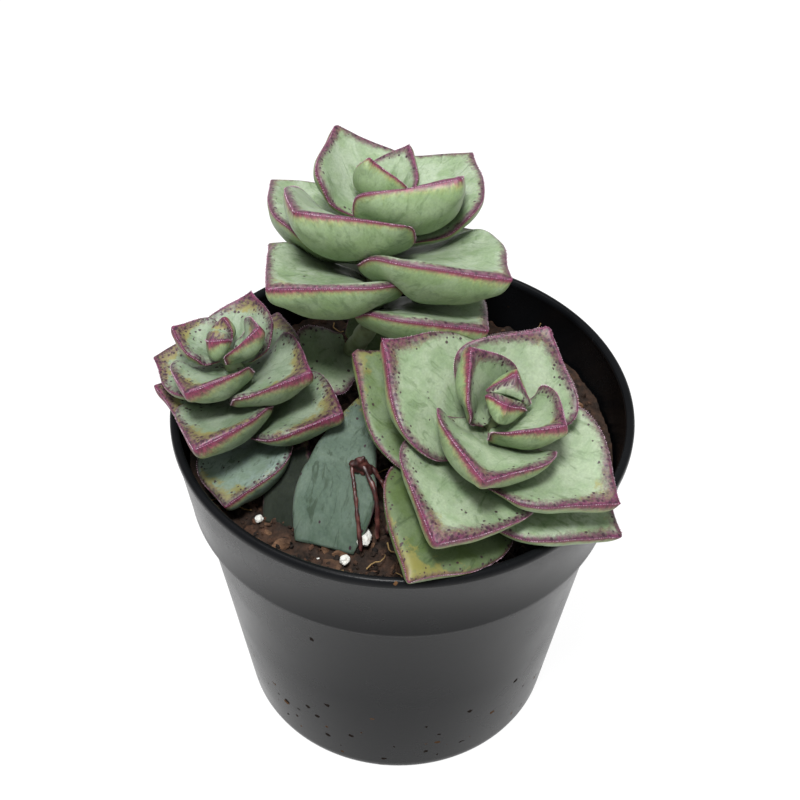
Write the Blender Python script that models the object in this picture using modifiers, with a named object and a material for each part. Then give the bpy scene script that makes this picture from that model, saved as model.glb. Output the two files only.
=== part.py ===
"""Potted succulent: three leafy rosettes and two lone leaves, rooted in soil in a round plastic nursery pot.

Units are metres and +Z is up. The origin is the centre of the pot's foot, on the surface it stands on.
+X is to the right and -Y is the front. Leaves grow in opposite pairs, each pair a quarter turn from the next.
"""

import math
from collections import namedtuple

import bmesh
import bpy
from mathutils import Matrix, Vector, noise

MM = 0.001
GAP = 0.3 * MM

# Pot
POT_HEIGHT = 88.0 * MM
RIM_RADIUS = 51.5 * MM
BAND_DEPTH = 22.0 * MM
BAND_FOOT_RADIUS = 48.6 * MM
SHOULDER_RADIUS = 46.6 * MM
FOOT_RADIUS = 37.3 * MM
WALL = 1.3 * MM
LIP_WIDTH = 2.0 * MM
LIP_DEPTH = 2.2 * MM
FLOOR_THICKNESS = 1.6 * MM
POT_SIDES = 48
DRAIN_RADIUS = 4.5 * MM
DRAIN_CIRCLE = 23.0 * MM
DRAIN_COUNT = 6

# Soil
SOIL_EDGE_HEIGHT = 73.5 * MM
SOIL_MOUND = 2.5 * MM
SOIL_LUMP = 1.2 * MM
SOIL_LUMP_SIZE = 11.0 * MM
SOIL_RINGS = (6.0 * MM, 14.0 * MM, 22.0 * MM, 30.0 * MM, 37.0 * MM, 42.0 * MM)
ROOT_DEPTH = 10.0 * MM
SOCKET_RADIUS = 3.4 * MM

# Stems and leaves
STEM_RADIUS = 2.4 * MM
STEM_TIP_RADIUS = 1.3 * MM
STEM_TAPER_LENGTH = 16.0 * MM
STEM_HANDLE_HIGH = 0.2
STEM_HANDLE_LOW = 0.35
CLASP_SHARE = 1.2
LEAF_SIDES = 12
LEAF_STATIONS = (0.0, 0.13, 0.30, 0.48, 0.66, 0.83, 0.95)
LEAF_BASE_SHARE = 0.62
LEAF_WIDEST = 0.36
LEAF_TAPER_POWER = 1.12
LEAF_THICKNESS_SHARE = 0.095
LEAF_THICKNESS_LEAST = 1.4 * MM
LEAF_UPPER_SHARE = 0.30
LEAF_BASE_LEAN = 0.10
LEAF_TIP_THICKNESS = 0.4
LEAF_SECTION_POWER = 1.25
LEAF_BASE_CUP = 0.25
LEAF_CUP_REACH = 0.3
GRAIN_ROUGHNESS = 0.25
GRAIN_LUMP_SIZE = 1.1 * MM

Stem = namedtuple("Stem", "name top tilt toward straight foot pairs")
Pair = namedtuple("Pair", "drop a b")
Leaf = namedtuple("Leaf", "turn rise length width curl cup")
Root = namedtuple("Root", "name start bend end radius")
Grain = namedtuple("Grain", "name x y size stretch squash turn")

# A stem's top and foot are in millimetres, its tilt from upright and its compass direction in degrees
# (0 = +X, 90 = +Y). A pair sits some millimetres below the top. A leaf: the compass turn it points in, the rise
# of its chord above the stem's square, its length and width in millimetres, then how far it curls up along its
# length and how far it cups across, in degrees.
STEMS = (
    Stem("front", (20.9, -27.5, 116.9), 18, 311, 31, (9.0, -14.0), (
        Pair(5.6, Leaf(78, 68, 9.0, 11.0, 44, 60), Leaf(256, 68, 8.0, 10.5, 44, 60)),
        Pair(8.4, Leaf(141, 56, 15.5, 18.0, 24, 52), Leaf(320, 53, 17.0, 20.0, 14, 58)),
        Pair(11.4, Leaf(64, 42, 20.5, 29.0, 24, 36), Leaf(255, 34, 22.0, 28.0, 15, 46)),
        Pair(16.0, Leaf(153, 25, 27.5, 31.0, 17, 25), Leaf(325, 19, 28.0, 30.5, 8, 38)),
        Pair(20.8, Leaf(66, 12, 29.0, 30.5, 13, 28), Leaf(247, 19, 29.0, 31.0, 11, 34)),
        Pair(26.0, Leaf(146, 12, 31.0, 31.0, 13, 24), Leaf(327, 15, 31.5, 30.0, 2, 26)),
        Pair(31.4, Leaf(64, 2, 28.0, 29.0, 10, 24), Leaf(243, 19.5, 34.0, 30.0, -6, 14)),
    )),
    Stem("back", (-4.5, 20.9, 134.0), 20, 77, 31, (-15.0, 20.0), (
        Pair(6.0, Leaf(51, 62, 13.8, 15.0, 40, 42), Leaf(235, 60, 13.0, 15.0, 40, 48)),
        Pair(9.0, Leaf(131, 45, 21.5, 28.0, 30, 38), Leaf(314, 38, 23.5, 31.0, 27, 42)),
        Pair(13.2, Leaf(47, 30.5, 28.5, 35.0, 13, 30), Leaf(231, 23, 28.0, 34.0, 10, 38)),
        Pair(17.8, Leaf(140, 15, 31.0, 33.0, 8, 26), Leaf(317, 11, 34.0, 34.0, 5, 34)),
        Pair(23.2, Leaf(42, 10, 31.0, 32.0, 7, 28), Leaf(230, 10, 31.5, 33.0, 4, 34)),
        Pair(29.0, Leaf(140, 8, 29.5, 31.0, 7, 26), Leaf(318, 9.5, 29.0, 31.0, 3, 28)),
        Pair(49.0, Leaf(38, 2, 18.0, 19.0, 6, 22), Leaf(212, 6, 16.0, 18.0, 4, 22)),
    )),
    Stem("left", (-39.8, -2.8, 111.7), 16, 177, 33, (-28.5, -4.5), (
        Pair(4.8, Leaf(73, 52, 5.0, 5.6, 40, 50), Leaf(253, 50, 5.8, 5.8, 40, 50)),
        Pair(7.6, Leaf(165, 45, 11.0, 13.0, 25, 46), Leaf(342, 44, 11.0, 13.5, 20, 52)),
        Pair(11.2, Leaf(70, 30, 15.0, 19.0, 19, 40), Leaf(249, 30, 16.0, 20.0, 14, 46)),
        Pair(15.6, Leaf(158, 14, 18.0, 21.5, 14, 34), Leaf(333, 20, 19.0, 23.0, 9, 44)),
        Pair(20.6, Leaf(73, 10, 20.0, 21.0, 14, 30), Leaf(253, 21, 21.5, 22.5, 14, 38)),
        Pair(25.8, Leaf(170, 30, 20.0, 21.0, 0, 22), Leaf(333, 14, 22.5, 22.5, 12, 34)),
        Pair(31.9, Leaf(77, -6, 15.0, 17.0, 6, 26), Leaf(257, 8, 22.0, 23.0, 10, 30)),
    )),
)

# Lone leaves standing in the soil: name, foot in millimetres, leaf.
LONE_LEAVES = (
    ("lone_leaf_1", (-15.6, -29.5, 77.5), Leaf(74, 31, 33.0, 15.5, -12, 16)),
    ("lone_leaf_2", (-25.6, -23.0, 77.0), Leaf(70, 28, 17.0, 8.5, -10, 30)),
)

# Reddish aerial roots from a scar near the lone leaf, in millimetres.
ROOTS = (
    Root("aerial_root_1", (-8.5, -20.5, 89.8), (-5.6, -26.0, 87.0), (-4.7, -31.0, 77.2), 0.6),
    Root("aerial_root_2", (-6.6, -20.0, 88.8), (-3.2, -23.5, 84.0), (-2.6, -29.5, 77.2), 0.5),
    Root("aerial_root_3", (-10.6, -21.5, 89.6), (-9.6, -27.0, 86.5), (-8.2, -34.6, 77.2), 0.5),
)

# Perlite grains on the soil, in millimetres and degrees.
GRAINS = (
    Grain("perlite_1", -7.7, -30.6, 3.4, 1.6, 0.8, 95),
    Grain("perlite_2", -11.6, -35.8, 2.4, 1.0, 0.8, 75),
    Grain("perlite_3", -30.5, -24.5, 2.0, 1.0, 0.7, 130),
)


def clear_scene():
    for obj in list(bpy.data.objects):
        bpy.data.objects.remove(obj)


def new_collection(name):
    collection = bpy.data.collections.new(name)
    bpy.context.scene.collection.children.link(collection)
    return collection


def plain_material(name, colour, roughness):
    material = bpy.data.materials.new(name)
    material.use_nodes = True
    shader = material.node_tree.nodes["Principled BSDF"]
    shader.inputs["Base Color"].default_value = (*colour, 1.0)
    shader.inputs["Roughness"].default_value = roughness
    shader.inputs["Metallic"].default_value = 0.0
    return material


def mesh_object(name, collection, material, mesh):
    mesh.materials.clear()
    mesh.materials.append(material)
    obj = bpy.data.objects.new(name, mesh)
    collection.objects.link(obj)
    return obj


# ---------------------------------------------------------------- pot and soil


def wall_inner_radius(height):
    """The radius of the pot's inner wall at a height."""
    band_foot = POT_HEIGHT - BAND_DEPTH
    if height < band_foot:
        share = height / band_foot
        return FOOT_RADIUS + (SHOULDER_RADIUS - FOOT_RADIUS) * share - WALL
    share = (height - band_foot) / BAND_DEPTH
    return BAND_FOOT_RADIUS + (RIM_RADIUS - BAND_FOOT_RADIUS) * share - WALL


def pot_profile():
    """The closed outline of the wall, down the outside, under the floor and up the inside."""
    band_foot = POT_HEIGHT - BAND_DEPTH
    lip_foot = POT_HEIGHT - LIP_DEPTH
    return [
        (RIM_RADIUS - LIP_WIDTH / 2, POT_HEIGHT),
        (RIM_RADIUS - 0.3 * MM, POT_HEIGHT - 0.3 * MM),
        (RIM_RADIUS, POT_HEIGHT - LIP_WIDTH / 2),
        (BAND_FOOT_RADIUS, band_foot + 0.5 * MM),
        (BAND_FOOT_RADIUS - 0.4 * MM, band_foot),
        (SHOULDER_RADIUS, band_foot - 0.6 * MM),
        (FOOT_RADIUS + 0.6 * MM, 2.5 * MM),
        (FOOT_RADIUS, 0.6 * MM),
        (FOOT_RADIUS - 0.6 * MM, 0.0),
        (0.0, 0.0),
        (0.0, FLOOR_THICKNESS),
        (wall_inner_radius(FLOOR_THICKNESS) - 1.5 * MM, FLOOR_THICKNESS),
        (wall_inner_radius(FLOOR_THICKNESS + 2.0 * MM), FLOOR_THICKNESS + 2.0 * MM),
        (wall_inner_radius(band_foot - 0.1 * MM), band_foot - 0.1 * MM),
        (wall_inner_radius(band_foot + WALL), band_foot + WALL),
        (wall_inner_radius(lip_foot), lip_foot),
        (RIM_RADIUS - LIP_WIDTH, lip_foot + 0.8 * MM),
        (RIM_RADIUS - LIP_WIDTH, POT_HEIGHT - 0.4 * MM),
        (RIM_RADIUS - LIP_WIDTH + 0.3 * MM, POT_HEIGHT - 0.1 * MM),
    ]


def turned_object(name, collection, material, profile, closed):
    """A profile in the XZ plane, turned once around Z with a Screw modifier."""
    mesh = bpy.data.meshes.new(name)
    count = len(profile)
    edges = [(i, (i + 1) % count) for i in range(count if closed else count - 1)]
    mesh.from_pydata([(radius, 0.0, height) for radius, height in profile], edges, [])
    obj = mesh_object(name, collection, material, mesh)
    screw = obj.modifiers.new("turn", "SCREW")
    screw.steps = POT_SIDES
    screw.render_steps = POT_SIDES
    screw.use_merge_vertices = True
    screw.merge_threshold = 0.00001
    screw.use_smooth_shade = True
    return obj


def drain_cutters(cutters):
    """One upright cylinder for each of the drain holes, which stand in a circle in the floor."""
    mesh = bpy.data.meshes.new("drain_cutters")
    form = bmesh.new()
    for i in range(DRAIN_COUNT):
        angle = 2 * math.pi * (i + 0.5) / DRAIN_COUNT
        x, y = DRAIN_CIRCLE * math.cos(angle), DRAIN_CIRCLE * math.sin(angle)
        bmesh.ops.create_cone(
            form, cap_ends=True, segments=12, radius1=DRAIN_RADIUS, radius2=DRAIN_RADIUS,
            depth=4 * FLOOR_THICKNESS, matrix=Matrix.Translation((x, y, FLOOR_THICKNESS / 2)),
        )
    form.to_mesh(mesh)
    form.free()
    obj = bpy.data.objects.new("drain_cutters", mesh)
    cutters.objects.link(obj)
    obj.hide_render = True
    obj.display_type = "WIRE"
    return obj


def build_pot(parts, cutters, material):
    pot = turned_object("pot", parts, material, pot_profile(), closed=True)
    cut = pot.modifiers.new("drain_holes", "BOOLEAN")
    cut.object = drain_cutters(cutters)
    cut.operation = "DIFFERENCE"
    return pot


def soil_height(x, y):
    """The top of the soil: a low mound with lumps, level at the wall."""
    reach = min(1.0, math.hypot(x, y) / wall_inner_radius(SOIL_EDGE_HEIGHT))
    lumps = noise.noise(Vector((x, y, 0.0)) / SOIL_LUMP_SIZE)
    return SOIL_EDGE_HEIGHT + (1 - reach**2) * SOIL_MOUND + (1 - reach**6) * SOIL_LUMP * lumps


def build_soil(parts, cutters, material):
    """A plug that fits inside the pot's wall, with a lumpy top and a socket for each stem."""
    floor = FLOOR_THICKNESS + GAP
    band_foot = POT_HEIGHT - BAND_DEPTH
    profile = [(0.0, SOIL_EDGE_HEIGHT)]
    profile += [(radius, SOIL_EDGE_HEIGHT) for radius in SOIL_RINGS]
    profile += [
        (wall_inner_radius(SOIL_EDGE_HEIGHT) - GAP, SOIL_EDGE_HEIGHT),
        (wall_inner_radius(band_foot + WALL) - GAP, band_foot + WALL + GAP),
        (wall_inner_radius(band_foot - 0.1 * MM) - GAP, band_foot),
        (wall_inner_radius(floor + 2.0 * MM) - GAP, floor + 2.0 * MM),
        (wall_inner_radius(floor) - 1.5 * MM - GAP, floor),
        (0.0, floor),
    ]
    turned = turned_object("soil_blank", parts, material, profile, closed=False)
    bpy.context.view_layer.update()
    graph = bpy.context.evaluated_depsgraph_get()
    mesh = bpy.data.meshes.new_from_object(turned.evaluated_get(graph))
    bpy.data.objects.remove(turned)
    for vertex in mesh.vertices:
        if vertex.co.z > SOIL_EDGE_HEIGHT - 0.01 * MM:
            vertex.co.z = soil_height(vertex.co.x, vertex.co.y)
    soil = mesh_object("soil", parts, material, mesh)
    soil.data.name = "soil"
    sockets = bpy.data.meshes.new("stem_sockets")
    form = bmesh.new()
    for stem in STEMS:
        x, y = (value * MM for value in stem.foot)
        bmesh.ops.create_cone(
            form, cap_ends=True, segments=12, radius1=SOCKET_RADIUS, radius2=SOCKET_RADIUS,
            depth=ROOT_DEPTH * 2, matrix=Matrix.Translation((x, y, SOIL_EDGE_HEIGHT + GAP)),
        )
    form.to_mesh(sockets)
    form.free()
    socket_cutter = bpy.data.objects.new("stem_sockets", sockets)
    cutters.objects.link(socket_cutter)
    socket_cutter.hide_render = True
    socket_cutter.display_type = "WIRE"
    cut = soil.modifiers.new("stem_sockets", "BOOLEAN")
    cut.object = socket_cutter
    cut.operation = "DIFFERENCE"
    return soil


# ---------------------------------------------------------------- stems


def stem_axis(stem):
    tilt, toward = math.radians(stem.tilt), math.radians(stem.toward)
    return Vector((math.sin(tilt) * math.cos(toward), math.sin(tilt) * math.sin(toward), math.cos(tilt)))


def stem_root(stem):
    return Vector((stem.foot[0] * MM, stem.foot[1] * MM, SOIL_EDGE_HEIGHT - ROOT_DEPTH + 3 * GAP))


def stem_point(stem, drop):
    """(point, direction) on the stem at a distance below its tip: straight at first, then curving to its root."""
    axis = stem_axis(stem)
    tip = Vector(stem.top) * MM
    straight = stem.straight * MM
    if drop <= straight:
        return tip - axis * drop, axis
    knee = tip - axis * straight
    root = stem_root(stem)
    surface = Vector((root.x, root.y, SOIL_EDGE_HEIGHT))
    reach = (knee - surface).length
    share = min(1.0, (drop - straight) / reach)
    handle_high = knee - axis * reach * STEM_HANDLE_HIGH
    handle_low = surface + Vector((0.0, 0.0, reach * STEM_HANDLE_LOW))
    points = (knee, handle_high, handle_low, surface)
    weights = ((1 - share) ** 3, 3 * share * (1 - share) ** 2, 3 * share**2 * (1 - share), share**3)
    place = sum((point * weight for point, weight in zip(points, weights)), Vector())
    slopes = ((1 - share) ** 2, 2 * share * (1 - share), share**2)
    steps = (points[0] - points[1], points[1] - points[2], points[2] - points[3])
    direction = sum((step * slope for step, slope in zip(steps, slopes)), Vector())
    return place, direction.normalized()


def stem_length(stem):
    tip = Vector(stem.top) * MM
    knee = tip - stem_axis(stem) * stem.straight * MM
    return stem.straight * MM + (knee - Vector((stem.foot[0] * MM, stem.foot[1] * MM, SOIL_EDGE_HEIGHT))).length


def stem_radius(drop):
    share = min(1.0, drop / STEM_TAPER_LENGTH)
    return STEM_TIP_RADIUS + (STEM_RADIUS - STEM_TIP_RADIUS) * share


def build_stem(stem, parts, material):
    """A tapered tube from the root in the soil to the first pair of leaves."""
    first = stem.pairs[0].drop * MM + 5 * GAP
    length = stem_length(stem)
    count = 12
    drops = [first + (length - first) * i / (count - 1) for i in range(count)]
    places = [stem_point(stem, drop)[0] for drop in drops] + [stem_root(stem)]
    radii = [stem_radius(drop) for drop in drops] + [STEM_RADIUS]
    curve = bpy.data.curves.new(f"{stem.name}_stem", "CURVE")
    curve.dimensions = "3D"
    curve.bevel_depth = 1.0
    curve.bevel_resolution = 2
    curve.use_fill_caps = True
    spline = curve.splines.new("POLY")
    spline.points.add(len(places) - 1)
    for point, place, radius in zip(spline.points, places, radii):
        point.co = (*place, 1.0)
        point.radius = radius
    curve.materials.append(material)
    obj = bpy.data.objects.new(f"{stem.name}_stem", curve)
    parts.objects.link(obj)
    return obj


# ---------------------------------------------------------------- leaves


def leaf_outline(along):
    """Half-width as a share of the widest, from the clasping base to the pointed tip."""
    if along < LEAF_WIDEST:
        return LEAF_BASE_SHARE + (1 - LEAF_BASE_SHARE) * math.sin(math.pi / 2 * along / LEAF_WIDEST)
    share = (along - LEAF_WIDEST) / (1 - LEAF_WIDEST)
    return max(0.0, math.cos(math.pi / 2 * share)) ** LEAF_TAPER_POWER


def leaf_chord(leaf, along):
    """(reach, lift, slope) of the midrib: an arc whose chord has the leaf's rise."""
    length, curl = leaf.length * MM, math.radians(leaf.curl)
    start = math.radians(leaf.rise) - curl / 2
    slope = start + curl * along
    if abs(curl) < 1e-6:
        return length * along * math.cos(start), length * along * math.sin(start), slope
    radius = length / (2 * math.sin(curl / 2))
    return radius * (math.sin(slope) - math.sin(start)), radius * (math.cos(start) - math.cos(slope)), slope


def leaf_point(leaf, clasp, along, angle):
    """A point of the leaf's surface in its own frame: +X outwards, +Z along the stem.

    along runs from 0 at the stem to 1 at the tip; angle goes once round the section, with 0 and pi at the margins.
    """
    reach, lift, slope = leaf_chord(leaf, along)
    wide = leaf.width * MM / 2 * leaf_outline(along)
    bend = math.radians(leaf.cup) * (LEAF_BASE_CUP + (1 - LEAF_BASE_CUP) * min(1.0, along / LEAF_CUP_REACH))
    across = bend * math.cos(angle)
    sideways = wide * math.sin(across) / bend
    raised = wide * (1 - math.cos(across)) / bend
    thickness = LEAF_THICKNESS_LEAST + LEAF_THICKNESS_SHARE * leaf.length * MM
    thickness *= LEAF_TIP_THICKNESS + (1 - LEAF_TIP_THICKNESS) * math.cos(math.pi / 2 * along)
    share = LEAF_UPPER_SHARE if math.sin(angle) > 0 else LEAF_UPPER_SHARE - 1
    above = raised + thickness * share * abs(math.sin(angle)) ** LEAF_SECTION_POWER
    inner = max(math.sqrt(max(clasp**2 - sideways**2, 0.0)), GAP + LEAF_BASE_LEAN * abs(sideways))
    out = (inner if along == 0 else clasp) + reach - above * math.sin(slope)
    return Vector((max(out, inner), sideways, lift + above * math.cos(slope)))


def leaf_mesh(name, leaf, clasp):
    """A UV sphere whose poles are the leaf's base and tip and whose rings are its cross-sections."""
    rings = len(LEAF_STATIONS)
    form = bmesh.new()
    bmesh.ops.create_uvsphere(form, u_segments=LEAF_SIDES, v_segments=rings + 1, radius=1.0)
    for vertex in form.verts:
        ring = round(math.acos(max(-1.0, min(1.0, vertex.co.z))) / math.pi * (rings + 1))
        if ring == 0:
            vertex.co = leaf_point(leaf, clasp, 1.0, 0.0)
        elif ring == rings + 1:
            vertex.co = Vector((max(clasp, GAP), 0.0, 0.0))
        else:
            angle = math.atan2(vertex.co.y, vertex.co.x)
            vertex.co = leaf_point(leaf, clasp, LEAF_STATIONS[rings - ring], angle)
    mesh = bpy.data.meshes.new(name)
    form.to_mesh(mesh)
    form.free()
    mesh.shade_smooth()
    return mesh


def node_frame(stem, drop):
    """An empty's matrix where a pair of leaves joins the stem: Z along the stem, X nearest to world +X."""
    place, axis = stem_point(stem, drop)
    right = (Vector((1.0, 0.0, 0.0)) - axis * axis.x).normalized()
    away = axis.cross(right)
    turn = Matrix((right, away, axis)).transposed().to_4x4()
    return Matrix.Translation(place) @ turn


def build_leaves(stem, parts, material):
    for number, pair in enumerate(stem.pairs, start=1):
        drop = pair.drop * MM
        clasp = GAP if number == 1 else stem_radius(drop) * CLASP_SHARE + GAP
        joint = bpy.data.objects.new(f"{stem.name}_joint_{number}", None)
        joint.matrix_world = node_frame(stem, drop)
        joint.empty_display_size = 4 * MM
        parts.objects.link(joint)
        for side, leaf in (("a", pair.a), ("b", pair.b)):
            name = f"{stem.name}_leaf_{number}{side}"
            obj = mesh_object(name, parts, material, leaf_mesh(name, leaf, clasp))
            obj.parent = joint
            obj.rotation_euler.z = math.radians(leaf.turn)


def build_lone_leaf(name, foot, leaf, parts, material):
    obj = mesh_object(name, parts, material, leaf_mesh(name, leaf, 0.0))
    obj.location = Vector(foot) * MM
    obj.rotation_euler.z = math.radians(leaf.turn)


# ---------------------------------------------------------------- roots and perlite


def build_root(root, parts, material):
    curve = bpy.data.curves.new(root.name, "CURVE")
    curve.dimensions = "3D"
    curve.bevel_depth = root.radius * MM
    curve.bevel_resolution = 1
    curve.use_fill_caps = True
    curve.resolution_u = 6
    spline = curve.splines.new("BEZIER")
    spline.bezier_points.add(2)
    for point, place in zip(spline.bezier_points, (root.start, root.bend, root.end)):
        point.co = Vector(place) * MM
        point.handle_left_type = point.handle_right_type = "AUTO"
    curve.materials.append(material)
    parts.objects.link(bpy.data.objects.new(root.name, curve))


def build_grain(grain, parts, material):
    """A knobbly pebble resting on the soil."""
    form = bmesh.new()
    bmesh.ops.create_icosphere(form, subdivisions=2, radius=grain.size * MM / 2)
    for vertex in form.verts:
        vertex.co *= 1 + GRAIN_ROUGHNESS * noise.noise(vertex.co / GRAIN_LUMP_SIZE + Vector((grain.x, grain.y, 0.0)))
        vertex.co.x *= grain.stretch
        vertex.co.z *= grain.squash
    low = min(vertex.co.z for vertex in form.verts)
    mesh = bpy.data.meshes.new(grain.name)
    form.to_mesh(mesh)
    form.free()
    mesh.shade_smooth()
    obj = mesh_object(grain.name, parts, material, mesh)
    x, y = grain.x * MM, grain.y * MM
    obj.location = (x, y, soil_height(x, y) - low + 3 * GAP)
    obj.rotation_euler.z = math.radians(grain.turn)


def main():
    clear_scene()
    parts = new_collection("potted_succulent")
    cutters = new_collection("cutters")
    plastic = plain_material("black_plastic", (0.020, 0.021, 0.022), 0.45)
    compost = plain_material("compost", (0.060, 0.034, 0.020), 0.95)
    stem_green = plain_material("stem_green", (0.23, 0.32, 0.20), 0.6)
    leaf_green = plain_material("leaf_green", (0.36, 0.48, 0.31), 0.5)
    root_brown = plain_material("root_brown", (0.19, 0.05, 0.04), 0.6)
    perlite = plain_material("perlite", (0.75, 0.74, 0.70), 0.9)
    build_pot(parts, cutters, plastic)
    build_soil(parts, cutters, compost)
    for stem in STEMS:
        build_stem(stem, parts, stem_green)
        build_leaves(stem, parts, leaf_green)
    for name, foot, leaf in LONE_LEAVES:
        build_lone_leaf(name, foot, leaf, parts, leaf_green)
    for root in ROOTS:
        build_root(root, parts, root_brown)
    for grain in GRAINS:
        build_grain(grain, parts, perlite)


main()
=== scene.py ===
"""Looks of the potted succulent: three rosettes of waxy, red-edged leaves in a black plastic nursery pot.

Units are metres, +Z is up, and the origin is the centre of the pot's foot. Each leaf, stem, root and grain
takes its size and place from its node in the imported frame, and gets its fine shape and its finish here.
"""

import math
import random

import bmesh
import bpy
import numpy as np
from mathutils import Euler, Matrix, Vector, noise
from mathutils.bvhtree import BVHTree

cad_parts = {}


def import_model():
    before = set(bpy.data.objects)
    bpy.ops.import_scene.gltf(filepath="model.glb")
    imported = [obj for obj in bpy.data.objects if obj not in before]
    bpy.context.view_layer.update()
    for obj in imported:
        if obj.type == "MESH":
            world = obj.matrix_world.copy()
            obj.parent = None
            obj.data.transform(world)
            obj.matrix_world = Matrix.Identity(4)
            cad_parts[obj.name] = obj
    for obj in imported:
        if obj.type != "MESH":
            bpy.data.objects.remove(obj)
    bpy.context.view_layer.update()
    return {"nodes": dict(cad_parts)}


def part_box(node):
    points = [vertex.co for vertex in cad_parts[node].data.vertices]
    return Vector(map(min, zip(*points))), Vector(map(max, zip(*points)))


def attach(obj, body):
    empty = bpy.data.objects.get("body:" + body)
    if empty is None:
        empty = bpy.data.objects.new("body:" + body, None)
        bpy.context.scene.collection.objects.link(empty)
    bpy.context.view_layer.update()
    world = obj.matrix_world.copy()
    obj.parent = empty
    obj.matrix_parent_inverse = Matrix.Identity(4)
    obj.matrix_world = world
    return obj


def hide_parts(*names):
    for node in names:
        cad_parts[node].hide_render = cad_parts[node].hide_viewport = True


MM = 0.001
JOIN_DISTANCE = 0.002 * MM

# Camera: how it looks at the pot.
CAMERA_TARGET = Vector((-0.6, 0.0, 88.6)) * MM
CAMERA_DISTANCE = 355 * MM
CAMERA_ELEVATION = 44.26
CAMERA_ROLL = 1.19
CAMERA_LENS = 72.0
CAMERA_SENSOR = 36.0

# Pot, in the same round numbers as the frame's.
WALL = 1.3 * MM
BAND_DEPTH = 22.0 * MM
BAND_FOOT_RADIUS = 48.6 * MM
SHOULDER_RADIUS = 46.6 * MM
FOOT_RADIUS = 37.3 * MM
LIP_WIDTH = 2.0 * MM
LIP_DEPTH = 2.2 * MM
FLOOR_THICKNESS = 1.6 * MM
DRAIN_RADIUS = 4.5 * MM
DRAIN_CIRCLE = 23.0 * MM
DRAIN_COUNT = 6
POT_STEPS = 192

# Leaves: how finely they are drawn. The frame's solids have LEAF_SIDES points round a section.
LEAF_SIDES = 12
LEAF_AROUND = 80
LEAF_ALONG = 50
HALF = LEAF_AROUND // 2

# A leaf's base, as shares of its length and width: it narrows and thins where it clasps the stem.
BASE_LOBE = 0.20
BASE_NARROWING = 0.74
BASE_THINNING = 0.28
THIN_REACH = 0.5
# A lone leaf's foot widens and goes down into the soil.
FOOT_REACH = 0.4
FOOT_WIDENING = 0.35
FOOT_DEPTH = 4.0 * MM

# The flesh that the frame's plain solids leave out. A side swells by a share of the leaf's length, rounded by
# its fullness, and takes up a share of the room beside it.
PILLOW = {"first": 0, "share": 0.050, "fullness": 0.75, "room_share": 0.4}
BELLY = {"first": HALF, "share": 0.13, "fullness": 1.15, "room_share": 1.0}
FLESH_AT_BASE = 0.06
BELLY_REACH = 0.45
TIP_FALL = 4
BUD_LENGTH = 10 * MM
BUD_ROOM_SHARE = 0.48
BUD_PILLOW, BUD_TIP_FALL = 9, 8
BUD_BELLY = 3
CLEARANCE = 0.2 * MM
NEIGHBOUR_REACH = 6 * MM
SMOOTHING_ROUNDS = 6

# The fine shape of the skin. The waves are lump size, height and shift from leaf to leaf.
FULL_LENGTH = 26 * MM
SHOULDER_HEIGHT = 0.22 * MM
SHOULDER_REACH = 1.2 * MM
MARGIN_BEAD = 0.10 * MM
MARGIN_BEAD_WIDTH = 0.3 * MM
MARGIN_PUSH_WIDTH = 0.22 * MM
WAVES = ((10 * MM, 0.65 * MM, 3.7), (4 * MM, 0.12 * MM, 1.0))
WAVE_START = 0.2
TIP_DRAW = 0.25 * MM
TIP_SHARE = 0.14
LEAF_PATTERN_SHIFT = 53.0
SIDE_PATTERN_SHIFT = 20.0

# The fringe of papillae. Its rings are level and radius, as shares of length and radius.
PAPILLA_SPACING = 0.42 * MM
PAPILLA_LENGTH = 0.24 * MM
PAPILLA_RADIUS = 0.09 * MM
PAPILLA_SIDES = 5
PAPILLA_RINGS = ((-0.3, 1.0), (0.55, 0.8), (0.95, 0.4))
FRINGE_START = 0.12

# Leaves whose skin isn't their rosette's. The shaded and deep skins are darker copies that paint in the shade
# on low leaves under those above. Dim does so in part for the low left leaves. front_leaf_6b takes the back
# rosette's slightly paler skin as painted light against the shade cast on it. Old and withered are older
# leaves.
SKINS_BY_LEAF = {
    "front_leaf_6a": "shaded", "front_leaf_7a": "deep", "front_leaf_7b": "deep",
    "back_leaf_6a": "shaded", "back_leaf_7a": "shaded", "back_leaf_7b": "front",
    "front_leaf_6b": "back", "left_leaf_7a": "dim", "left_leaf_7b": "dim", "lone_leaf_2": "withered",
}

# Soil: its level under the rim of its solid, its mesh, and the loose bits on it.
SOIL_DROP = 2.0 * MM
SOIL_SKIRT = 6.5 * MM
SOIL_TUCK = 0.975
SOIL_CELLS = 230
# Name, count, sizes in mm, length, flatness, steps of roundness, seed, and reach as a share of the radius.
LOOSE_BITS = {
    "peat": [("peat_crumbs", 1500, (0.6, 2.0), 1.5, 0.8, 1, 3, 0.96)],
    "bark": [
        ("bark_chips", 90, (1.6, 4.0), 2.2, 0.35, 2, 4, 0.94),
        ("bark_crumbs", 500, (0.6, 1.6), 1.8, 0.6, 1, 5, 0.96),
    ],
    "foam": [("perlite_crumbs", 60, (0.4, 1.1), 1.4, 0.8, 1, 6, 0.94)],
}
FIBRE_COUNT = 70
FIBRE_REACH = 0.92
FIBRE_RADIUS = 0.16 * MM
TWIG = ((31.0, 30.5, 76.0), (31.6, 29.6, 80.5), (31.4, 28.9, 84.0), (32.1, 28.4, 87.0))
ROOT_SCAR = Vector((-8.6, -20.6, 88.6)) * MM
ROOT_SCAR_SIZE = Vector((2.1, 1.2, 3.0)) * MM
ROOT_SCAR_LUMPS = ((2.6 * MM, 0.9 * MM), (1.1 * MM, 0.7 * MM), (0.45 * MM, 0.25 * MM))

# Stage: soft white light all round, a lamp above the front, a wide one above, and a white card.
WORLD_LIGHT = 0.48
KEY = {"place": (-0.04, -0.25, 0.68), "size": 0.12, "power": 5.1}
TOP_FILL = {"place": (-0.1, 0.1, 0.9), "size": 0.5, "power": 2.4}
LIGHT_TARGET = (0.0, 0.0, 0.1)
CARD_GLOW = 0.95
CARD_SIZE = 8.0


# ---------------------------------------------------------------- small tools


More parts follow.
